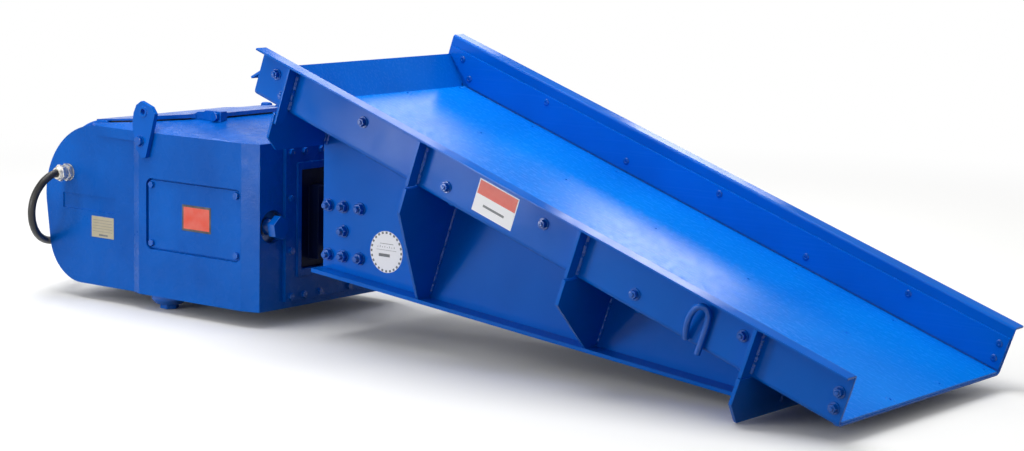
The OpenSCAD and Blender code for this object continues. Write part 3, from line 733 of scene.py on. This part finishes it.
def sheet_profile():
    """The trough's folded section, as (y, z) in millimetres round its outside and inside."""
    outer = [(TIP_Y, WALL_HIGH), (TIP_Y, WALL_HIGH - 6), (WALL_Y, WALL_HIGH - 6)]
    outer += [(WALL_Y - 14 + 14 * math.cos(math.radians(a)), 14 + 14 * math.sin(math.radians(a)))
              for a in (0, -18, -36, -54, -72, -90)]
    inner = [(HALF_WIDTH - 8 + 8 * math.cos(math.radians(a)), 14 + 8 * math.sin(math.radians(a)))
             for a in (-90, -72, -54, -36, -18, 0)]
    inner += [(HALF_WIDTH + 7 - 7 * math.cos(math.radians(a)),
               WALL_HIGH - 7 + 7 * math.sin(math.radians(a))) for a in (0, 18, 36, 54, 72, 90)]
    left = outer + [(-y, z) for y, z in reversed(outer)]
    right = [(-y, z) for y, z in reversed(inner)] + inner
    return left + right


def extrude_x(profile, x0, x1):
    """A bar of that (y, z) section between two places along x, in millimetres."""
    bm = bmesh.new()
    face = bm.faces.new([bm.verts.new((x0 * MM, y * MM, z * MM)) for y, z in profile])
    pushed = bmesh.ops.extrude_face_region(bm, geom=[face])
    new = [v for v in pushed["geom"] if isinstance(v, bmesh.types.BMVert)]
    bmesh.ops.translate(bm, verts=new, vec=((x1 - x0) * MM, 0, 0))
    bmesh.ops.recalc_face_normals(bm, faces=bm.faces)
    return bm


def build_pan():
    """The folded trough with its outward flanges, its liners, gussets and ribs."""
    bm = extrude_x(sheet_profile(), -TROUGH_LONG, 0)
    round_edges(bm, 1.3, 2, 50)
    bmesh.ops.transform(bm, matrix=DECK, verts=bm.verts)
    finish_piece("trough_folded_pan", bm, SHEET, "trough", ("trough_pan",))
    dress("floor_liner", FLOOR_LINER_PAINTED_LIGHTEST, "trough", 1.2, 2, 60)
    for side in ("left", "right"):
        dress("side_liner_" + side, LINER, "trough", 1.0, 2, 60)
        dress("wall_stiffeners_" + side, SHEET, "trough", 1.3, 2, 20)
        dress("gusset_rear_" + side, SHEET, "trough", 1.3, 2, 20)
        dress("gusset_mid_" + side, SHEET, "trough", 1.3, 2, 20)
    dress("back_plate", LINER, "trough", 1.2, 2, 20)
    dress("rear_rib", SHEET, "trough", 1.3, 2, 20)
    dress("front_rib", SHEET, "trough", 1.3, 2, 20)


def build_trough_fasteners():
    """Round-headed bolts through the walls and countersunk ones in the floor."""
    walls = []
    for side in (-1, 1):
        for x, z in SIDE_BOLTS:
            out = facing((-x, side * WALL_Y, z), (0, side, 0), DECK, (x * 3 + z) % 60)
            walls.append(gather([ring(6.4, 15, 2.5), hexagon(19, 10.4, 2.5, 1.3),
                                 thread(5.8, -13, 16.6, 1.8, 14)], out))
            inside = facing((-x, side * (HALF_WIDTH - 6), z), (0, -side, 0), DECK)
            walls.append(gather([low_head(9.6, 2.6, 3.2)], inside))
    finish_piece("wall_bolt_sets", gather(walls), HARDWARE, "trough", ("side_bolts",))
    floor = []
    for x in FLOOR_BOLT_X:
        for y in FLOOR_BOLT_Y:
            down = facing((-x, y, 0), (0, 0, -1), DECK, (x * 5 + y) % 60)
            head = lathe([(0, 7.4), (3.3, 7.4), (3.5, 11.5), (4.2, 12.1), (10.4, 12.1),
                          (11.3, 11.5), (6, 6.9), (5.6, 6.4), (5.6, -1), (0, -1)])
            floor.append(gather([head], DECK @ Matrix.Translation((-x * MM, y * MM, 0))))
            floor.append(gather([hexagon(19, 10.8, 0.1, 1.3), thread(5.6, -2, 13.8, 1.8, 14)],
                                down))
    # the floor bolt heads take the floor liner's colour, which is painted lightest as the light on
    # the floor
    finish_piece("floor_bolt_heads", gather(floor), FLOOR_LINER_PAINTED_LIGHTEST, "trough",
                 ("floor_bolt_set",))


def build_eyes():
    """Bent round bars welded to the walls for the front hangers."""
    # along the trough, out from the wall, and up, in millimetres
    knots = [(-428, 0, 10), (-430, 9, 36), (-428, 16, 62), (-422, 20, 86), (-411, 20, 103),
             (-399, 13, 105), (-391, 5, 94), (-388, 1, 76), (-387, 0, 40), (-387, 0, -10)]
    for side, word in ((1, "left"), (-1, "right")):
        run = [tuple(DECK @ (Vector((x, side * (WALL_Y + 8 + out), z)) * MM) / MM)
               for x, out, z in knots]
        curve_piece("hanger_eye_" + word, run, 8, WELD, "trough",
                    ("lifting_eye_" + word,), 6)


def build_welds():
    """Fillet welds where the plates meet, from both faces."""
    beads = []
    seed = 10
    for side in (-1, 1):
        wall, tip, wing = side * WALL_Y, side * TIP_Y, side * WING_Y
        for (near, far), foot in zip(RIB_FACES, RIB_FEET):
            for x, way in ((near, 1), (far, -1)):
                seed += 1
                beads.append(bead((x, wall, 12), (x, wall, WALL_HIGH - 8), (way, 0, 0),
                                  (0, side, 0), 8.5, DECK, seed))
                beads.append(bead((x, wall + side * 4, WALL_HIGH - 6),
                                  (x, tip - side * 3, WALL_HIGH - 6), (way, 0, 0), (0, 0, -1), 5,
                                  DECK, seed + 200))
                beads.append(bead((x, wing, -4), (x, wing, foot), (way, 0, 0), (0, side, 0), 7,
                                  DECK, seed + 400))
                beads.append(bead((x, wing + side * 6, 0), (x, wall - side * 16, 0), (way, 0, 0),
                                  (0, 0, -1), 6, DECK, seed + 600))
        beads.append(bead((-1744, wing, 0), (-266, wing, 0), (0, side, 0), (0, 0, -1), 7, DECK,
                          seed + 800))
        beads.append(bead((-1744, wing - side * 10, 0), (-266, wing - side * 10, 0),
                          (0, -side, 0), (0, 0, -1), 6, DECK, seed + 900))
    finish_piece("weld_beads", gather(beads), WELD, "trough")


def build_gauge_and_wall_label():
    """The stroke gauge disc with its rim of marks, and a blank plate on the wall."""
    face = facing((-150, -WING_Y, 241), (0, -1, 0))
    finish_piece("stroke_gauge_disc", gather([shank(55, 0.05, 0.5, 72)], face), LABEL_WHITE,
                 "trough", ("stroke_gauge",))
    marks = []
    for k in range(24):
        turned = face @ Matrix.Rotation(math.radians(15 * k), 4, "Z")
        marks.append(gather([block((48, -3.2, 0.45), (53.8, 3.2, 0.58), 0.0)], turned))
    lines = [((-22, 21, 0.45), (24, 22.2, 0.57)), ((-26, -13, 0.45), (12, -5, 0.57)),
             ((-34, 4.4, 0.45), (34, 5.2, 0.57))]
    for k in range(8):
        lines.append(((-30 + 8 * k, 11, 0.45), (-28.6 + 8 * k, 14 + (k % 2) * 2, 0.57)))
    for low, high in lines:
        marks.append(gather([block(low, high, 0.0)], face))
    finish_piece("stroke_gauge_marks", gather(marks), LABEL_GREY, "trough")
    y = -WALL_Y
    sheet = block((-1110, y - 0.35, 22), (-982, y - 0.02, 106), 0.0, 1, DECK)
    finish_piece("wall_label_sheet", sheet, LABEL_WHITE, "trough", ("wall_label",))
    header = block((-1107, y - 0.5, 68), (-985, y - 0.3, 103), 0.0, 1, DECK)
    finish_piece("wall_label_header", header, LABEL_ORANGE, "trough")
    bar = block((-1080, y - 0.5, 42), (-1012, y - 0.3, 48), 0.0, 1, DECK)
    finish_piece("wall_label_bar", bar, LABEL_GREY, "trough")


# ---------- floor and light ----------

FLOOR_Z = -1.5                  # just under the feet, in millimetres
FLOOR_FADE = (1.6, 5.0)         # how far out in metres the floor starts and ends turning white
WORLD_DIFFUSE = 0.56            # the surround's strength as light on matt surfaces
CEILING = (0.2, 0.42, 0.14)     # how high its mirrored part starts and ends darkening, and to what


def seen_ray(tree):
    """1 for rays that show the background: straight, mirrored or through glass."""
    rays = add(tree, "ShaderNodeLightPath")
    seen = add(tree, "ShaderNodeMath", {0: rays.outputs["Is Camera Ray"],
                                        1: rays.outputs["Is Glossy Ray"]}, operation="MAXIMUM")
    return add(tree, "ShaderNodeMath", {0: seen.outputs[0],
                                        1: rays.outputs["Is Transmission Ray"]},
               operation="MAXIMUM").outputs[0]


def lay_floor():
    """A plain pale floor that keeps the shadow and fades to white well away from the machine."""
    bm = bmesh.new()
    bmesh.ops.create_grid(bm, x_segments=1, y_segments=1, size=60)
    mesh = bpy.data.meshes.new("studio_floor")
    bm.to_mesh(mesh)
    bm.free()
    made, tree, bsdf, place = start("pale_floor_paint", Roughness=0.9)
    seen = seen_ray(tree)
    # the floor throws little light back, so the undersides stay deep
    tone = add(tree, "ShaderNodeMix", {"Factor": seen, 6: linear("#646464"),
                                       7: linear("#F0F0EE")}, data_type="RGBA")
    tree.links.new(tone.outputs[2], bsdf.inputs["Base Color"])
    far = add(tree, "ShaderNodeVectorMath", {0: place}, operation="LENGTH").outputs["Value"]
    fade_from, fade_to = FLOOR_FADE
    fade = add(tree, "ShaderNodeMapRange", {"Value": far, "From Min": fade_from,
                                            "From Max": fade_to},
               interpolation_type="SMOOTHSTEP").outputs["Result"]
    amount = add(tree, "ShaderNodeMath", {0: fade, 1: seen}, operation="MULTIPLY")
    white = add(tree, "ShaderNodeEmission", {"Color": (1, 1, 1, 1), "Strength": 1.0})
    mix = add(tree, "ShaderNodeMixShader", {0: amount.outputs[0], 1: bsdf.outputs["BSDF"],
                                            2: white.outputs["Emission"]})
    out = next(n for n in tree.nodes if n.type == "OUTPUT_MATERIAL")
    tree.links.new(mix.outputs[0], out.inputs["Surface"])
    mesh.materials.append(made)
    floor = bpy.data.objects.new("studio_floor", mesh)
    floor.location = (0, 0, FLOOR_Z * MM)
    bpy.context.scene.collection.objects.link(floor)


# name, place in metres, side in metres, watts, and the height of the point that it faces
LAMPS = [("overhead_softbox", (-0.9, -0.3, 4.6), 3.6, 182.0, 0.35),
         ("side_softbox", (-1.7, -5.3, 2.6), 3.4, 66.0, 0.35),
         ("low_softbox", (-2.35, -3.6, 0.45), 0.9, 23.0, 0.6),
         ("corner_softbox", (-1.25, -2.75, 0.3), 0.45, 10.0, 0.4),
         ("back_left_softbox", (-2.4, 3.35, 2.75), 0.85, 8.5, 0.35),
         ("back_right_softbox", (-0.85, 3.4, 2.35), 0.7, 9.0, 0.35),
         ("roof_softbox", (-3.3, 1.3, 3.2), 1.2, 26.0, 0.5)]


def set_studio():
    """Seven soft lamps and a surround that is white low down and grey overhead."""
    lay_floor()
    world = bpy.data.worlds.new("studio")
    world.use_nodes = True
    tree = world.node_tree
    tree.nodes.clear()
    way = add(tree, "ShaderNodeTexCoord").outputs["Generated"]
    up = add(tree, "ShaderNodeSeparateXYZ", {0: way}).outputs["Z"]
    dark_from, dark_to, dark = CEILING
    ceiling = add(tree, "ShaderNodeMapRange", {"Value": up, "From Min": dark_from,
                                               "From Max": dark_to, "To Min": 1.0,
                                               "To Max": dark},
                  interpolation_type="SMOOTHSTEP").outputs["Result"]
    level = add(tree, "ShaderNodeMapRange", {"Value": seen_ray(tree), "To Min": WORLD_DIFFUSE,
                                             "To Max": ceiling})
    back = add(tree, "ShaderNodeBackground", {"Color": (1, 1, 1, 1),
                                              "Strength": level.outputs["Result"]})
    add(tree, "ShaderNodeOutputWorld", {"Surface": back.outputs["Background"]})
    bpy.context.scene.world = world
    bpy.context.scene.view_settings.view_transform = "Standard"
    for name, at, size, watts, aim_high in LAMPS:
        data = bpy.data.lights.new(name, "AREA")
        data.size = size
        data.energy = watts
        lamp = bpy.data.objects.new(name, data)
        lamp.matrix_world = (Matrix.Translation(at)
                             @ (Vector(at) - Vector((0, 0, aim_high))).to_track_quat("Z", "Y")
                             .to_matrix().to_4x4())
        lamp.visible_camera = False
        bpy.context.scene.collection.objects.link(lamp)


build_casting()
build_inspection_covers()
build_crown()
build_drive_fasteners()
build_gland()
build_springs_and_magnet()
build_labels()
build_moving_frame()
build_pan()
build_trough_fasteners()
build_eyes()
build_welds()
build_gauge_and_wall_label()
set_studio()
